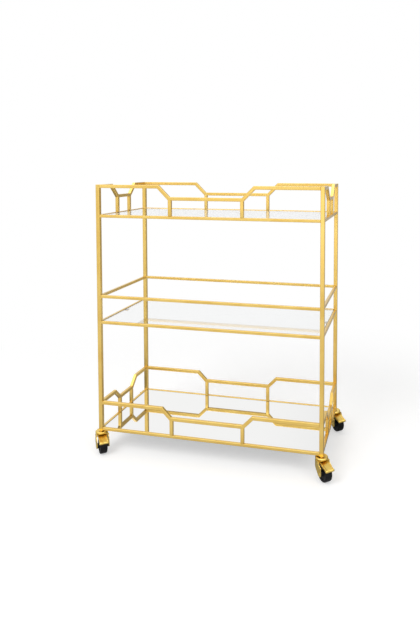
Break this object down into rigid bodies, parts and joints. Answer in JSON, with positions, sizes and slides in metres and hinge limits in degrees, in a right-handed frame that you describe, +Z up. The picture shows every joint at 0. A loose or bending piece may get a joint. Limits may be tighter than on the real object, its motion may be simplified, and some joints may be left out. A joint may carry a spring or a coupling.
{
  "type": "bar cart",
  "caption": "Three-tier bar cart on braked swivel casters: square gold tube frame, notched gallery rails, clear glass upper shelves and a mirrored bottom shelf.",
  "frame": {"origin": "on the floor, under the centre of the cart's bounding box, which is also the centre of the frame in plan", "axes": "+X along the width to the right, +Y from front to back along the depth, +Z up"},
  "size_m": [0.788, 0.3998, 0.8442],
  "materials": {
    "gold_tube": "satin metallic gold on welded square steel tube",
    "gold_caster": "brighter gold plate on pressed steel",
    "clear_glass": "clear tempered glass, 5 mm, polished edges",
    "mirror_glass": "silvered mirror glass, 5 mm",
    "black_wheel": "satin black moulded tread",
    "clear_pad": "clear soft bumper pad",
    "plain_steel": "zinc plated"
  },
  "bodies": {
    "frame": {"post_front_left": "gold_tube", "post_front_right": "gold_tube", "post_back_left": "gold_tube", "post_back_right": "gold_tube", "bottom_shelf_rail_front": "gold_tube", "middle_shelf_rail_front": "gold_tube", "top_shelf_rail_front": "gold_tube", "middle_guard_rail_front": "gold_tube", "top_gallery_rail_front": "gold_tube", "bottom_gallery_rail_front": "gold_tube", "bottom_shelf_rail_back": "gold_tube", "middle_shelf_rail_back": "gold_tube", "top_shelf_rail_back": "gold_tube", "middle_guard_rail_back": "gold_tube", "top_gallery_rail_back": "gold_tube", "bottom_gallery_rail_back": "gold_tube", "bottom_shelf_rail_left": "gold_tube", "middle_shelf_rail_left": "gold_tube", "top_shelf_rail_left": "gold_tube", "middle_guard_rail_left": "gold_tube", "top_gallery_rail_left": "gold_tube", "bottom_gallery_rail_left": "gold_tube", "bottom_shelf_rail_right": "gold_tube", "middle_shelf_rail_right": "gold_tube", "top_shelf_rail_right": "gold_tube", "middle_guard_rail_right": "gold_tube", "top_gallery_rail_right": "gold_tube", "bottom_gallery_rail_right": "gold_tube", "top_gallery_uprights": "gold_tube", "bottom_gallery_uprights": "gold_tube", "top_glass_shelf": "clear_glass", "middle_glass_shelf": "clear_glass", "bottom_mirror_shelf": "mirror_glass", "shelf_tabs": "gold_tube", "shelf_pads": "clear_pad", "post_top_caps": "gold_tube", "caster_sockets": "plain_steel", "swivel_bearing_rings": "gold_caster", "caster_stem_front_left": "plain_steel", "caster_stem_front_right": "plain_steel", "caster_stem_back_left": "plain_steel", "caster_stem_back_right": "plain_steel"},
    "caster_front_left": {"caster_fork_front_left": "gold_caster", "caster_rivets_front_left": "gold_caster"},
    "wheel_front_left": {"caster_wheel_front_left": "black_wheel"},
    "pedal_front_left": {"brake_pedal_front_left": "gold_caster"},
    "caster_front_right": {"caster_fork_front_right": "gold_caster", "caster_rivets_front_right": "gold_caster"},
    "wheel_front_right": {"caster_wheel_front_right": "black_wheel"},
    "pedal_front_right": {"brake_pedal_front_right": "gold_caster"},
    "caster_back_left": {"caster_fork_back_left": "gold_caster", "caster_rivets_back_left": "gold_caster"},
    "wheel_back_left": {"caster_wheel_back_left": "black_wheel"},
    "pedal_back_left": {"brake_pedal_back_left": "gold_caster"},
    "caster_back_right": {"caster_fork_back_right": "gold_caster", "caster_rivets_back_right": "gold_caster"},
    "wheel_back_right": {"caster_wheel_back_right": "black_wheel"},
    "pedal_back_right": {"brake_pedal_back_right": "gold_caster"}
  },
  "joints": [
    {"name": "swivel_front_left", "type": "hinge", "parent": "frame", "child": "caster_front_left", "pos_m": [-0.352, -0.15375, 0.06], "axis": [0, 0, 1], "continuous": true},
    {"name": "roll_front_left", "type": "hinge", "parent": "caster_front_left", "child": "wheel_front_left", "pos_m": [-0.34043, -0.16754, 0.025], "axis": [0.766, 0.6428, 0], "continuous": true},
    {"name": "brake_front_left", "type": "hinge", "parent": "caster_front_left", "child": "pedal_front_left", "pos_m": [-0.34621, -0.16064, 0.0518], "axis": [-0.766, -0.6428, 0], "range_deg": [0, 14]},
    {"name": "swivel_front_right", "type": "hinge", "parent": "frame", "child": "caster_front_right", "pos_m": [0.352, -0.15375, 0.06], "axis": [0, 0, 1], "continuous": true},
    {"name": "roll_front_right", "type": "hinge", "parent": "caster_front_right", "child": "wheel_front_right", "pos_m": [0.36357, -0.16754, 0.025], "axis": [0.766, 0.6428, 0], "continuous": true},
    {"name": "brake_front_right", "type": "hinge", "parent": "caster_front_right", "child": "pedal_front_right", "pos_m": [0.35779, -0.16064, 0.0518], "axis": [-0.766, -0.6428, 0], "range_deg": [0, 14]},
    {"name": "swivel_back_left", "type": "hinge", "parent": "frame", "child": "caster_back_left", "pos_m": [-0.352, 0.15375, 0.06], "axis": [0, 0, 1], "continuous": true},
    {"name": "roll_back_left", "type": "hinge", "parent": "caster_back_left", "child": "wheel_back_left", "pos_m": [-0.36357, 0.16754, 0.025], "axis": [-0.766, -0.6428, 0], "continuous": true},
    {"name": "brake_back_left", "type": "hinge", "parent": "caster_back_left", "child": "pedal_back_left", "pos_m": [-0.35779, 0.16064, 0.0518], "axis": [0.766, 0.6428, 0], "range_deg": [0, 14]},
    {"name": "swivel_back_right", "type": "hinge", "parent": "frame", "child": "caster_back_right", "pos_m": [0.352, 0.15375, 0.06], "axis": [0, 0, 1], "continuous": true},
    {"name": "roll_back_right", "type": "hinge", "parent": "caster_back_right", "child": "wheel_back_right", "pos_m": [0.36357, 0.13996, 0.025], "axis": [0.766, 0.6428, 0], "continuous": true},
    {"name": "brake_back_right", "type": "hinge", "parent": "caster_back_right", "child": "pedal_back_right", "pos_m": [0.35779, 0.14686, 0.0518], "axis": [-0.766, -0.6428, 0], "range_deg": [0, 14]}
  ]
}
